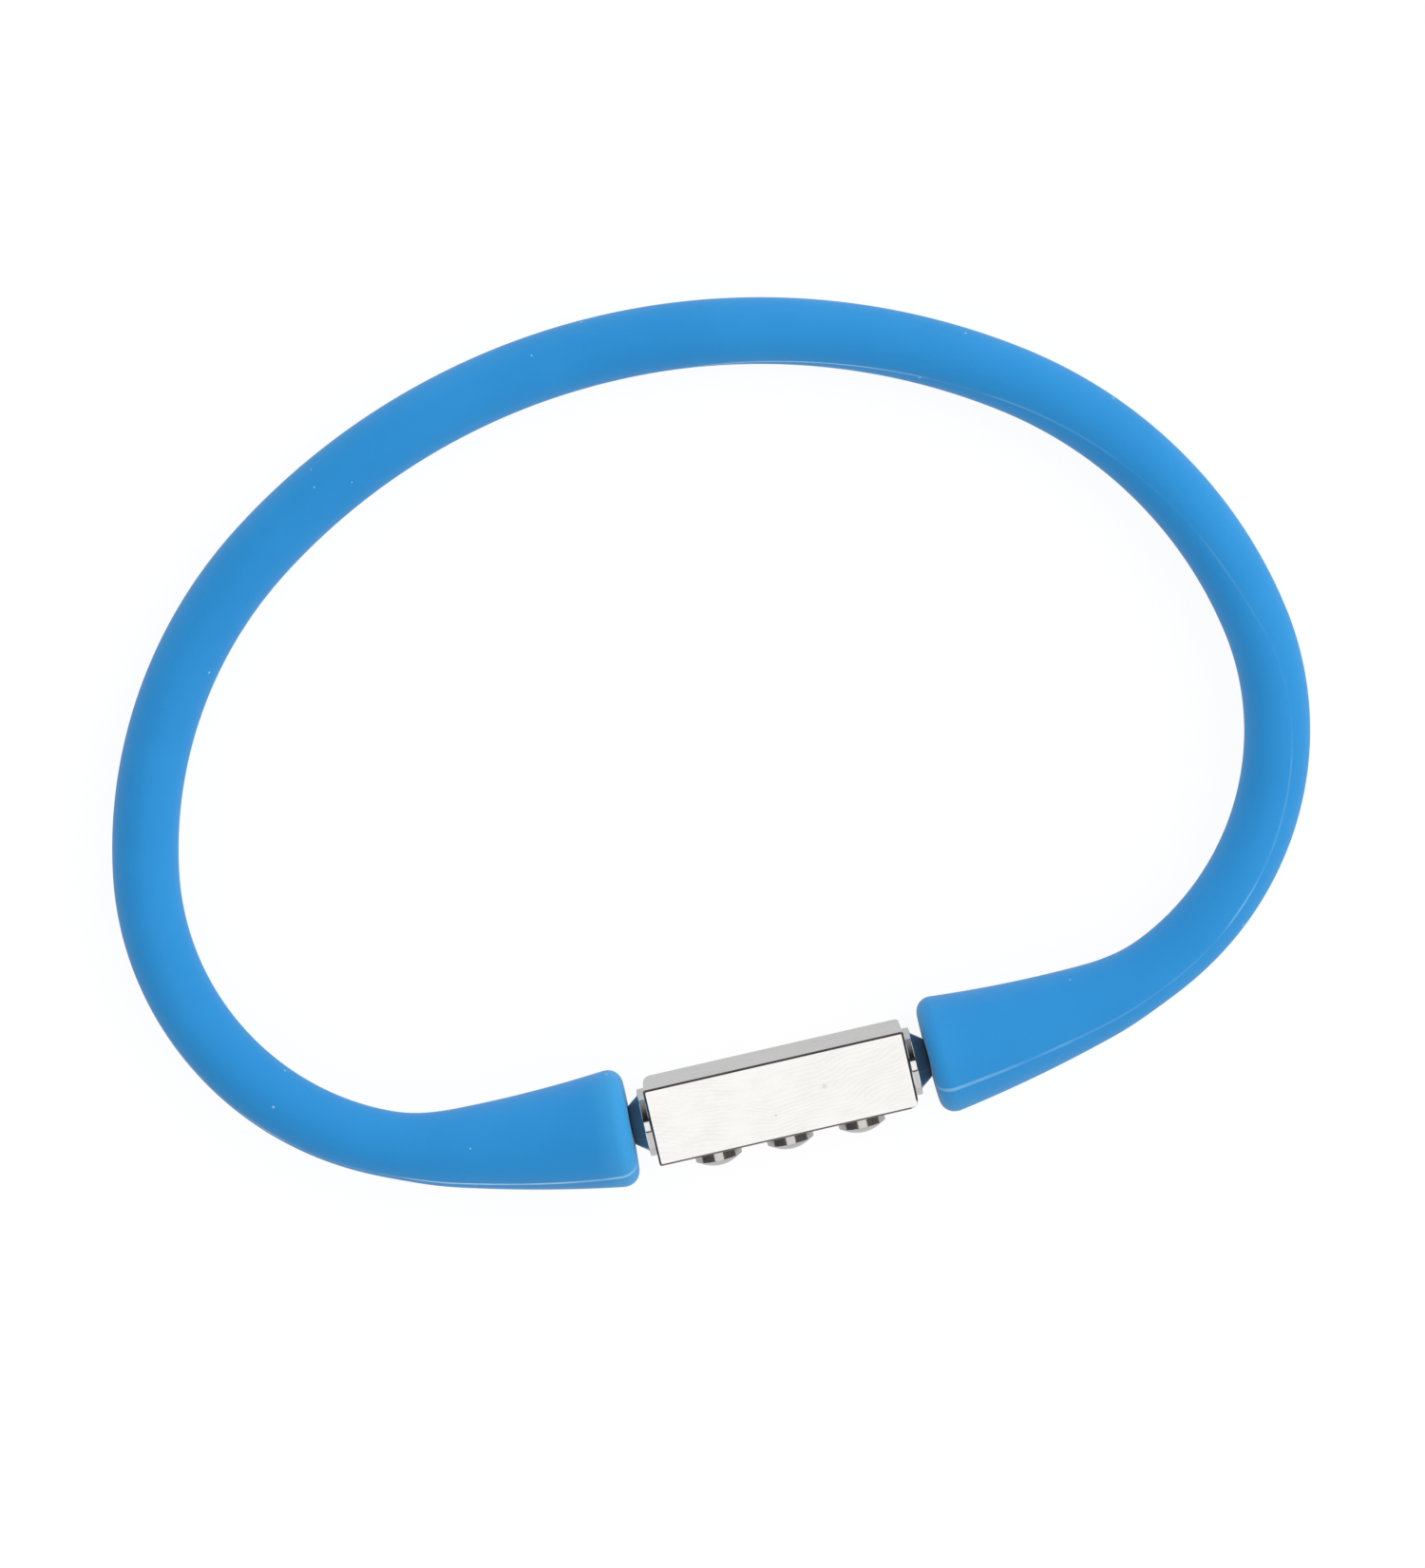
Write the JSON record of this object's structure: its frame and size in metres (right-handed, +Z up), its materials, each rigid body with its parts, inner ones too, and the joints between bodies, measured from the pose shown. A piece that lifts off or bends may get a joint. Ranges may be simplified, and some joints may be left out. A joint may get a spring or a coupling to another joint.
{
  "type": "silicone wristband with steel bar",
  "caption": "Oval wristband of round silicone cord with trumpet-shaped ends, pushed over barbed plugs on a square steel bar with domed studs.",
  "frame": {"origin": "under the middle of the whole object's box, on the surface that the trumpet ends lie on", "axes": "+X along the bar, +Y from the bar to the back of the loop, +Z up, square to the loop's plane; the studs face -Y"},
  "size_m": [0.0736, 0.0522, 0.0072],
  "materials": {
    "silicone": "matt moulded blue",
    "bar_steel": "polished, with fine buffing marks",
    "plug_steel": "turned and polished",
    "stud_steel": "polished"
  },
  "bodies": {
    "strap_left": {"strap_left_end": "silicone", "strap_left_arm": "silicone", "strap_back_flex": "silicone"},
    "bar": {"steel_bar": "bar_steel", "left_end_plug": "plug_steel", "right_end_plug": "plug_steel", "left_stud": "stud_steel", "middle_stud": "stud_steel", "right_stud": "stud_steel"},
    "strap_right": {"strap_right_arm": "silicone", "strap_right_end": "silicone"}
  },
  "joints": [
    {"name": "bar_swivel", "type": "hinge", "parent": "strap_left", "child": "bar", "pos_m": [0, -0.02249, 0.0036], "axis": [1, 0, 0], "continuous": true},
    {"name": "strap_open", "type": "hinge", "parent": "strap_left", "child": "strap_right", "pos_m": [0.00881, 0.0231, 0.0036], "axis": [0, 0, 1], "range_deg": [0, 45], "stiffness_Nm_per_rad": 0.0015, "deforming": ["strap_back_flex", "strap_right_end"]}
  ]
}
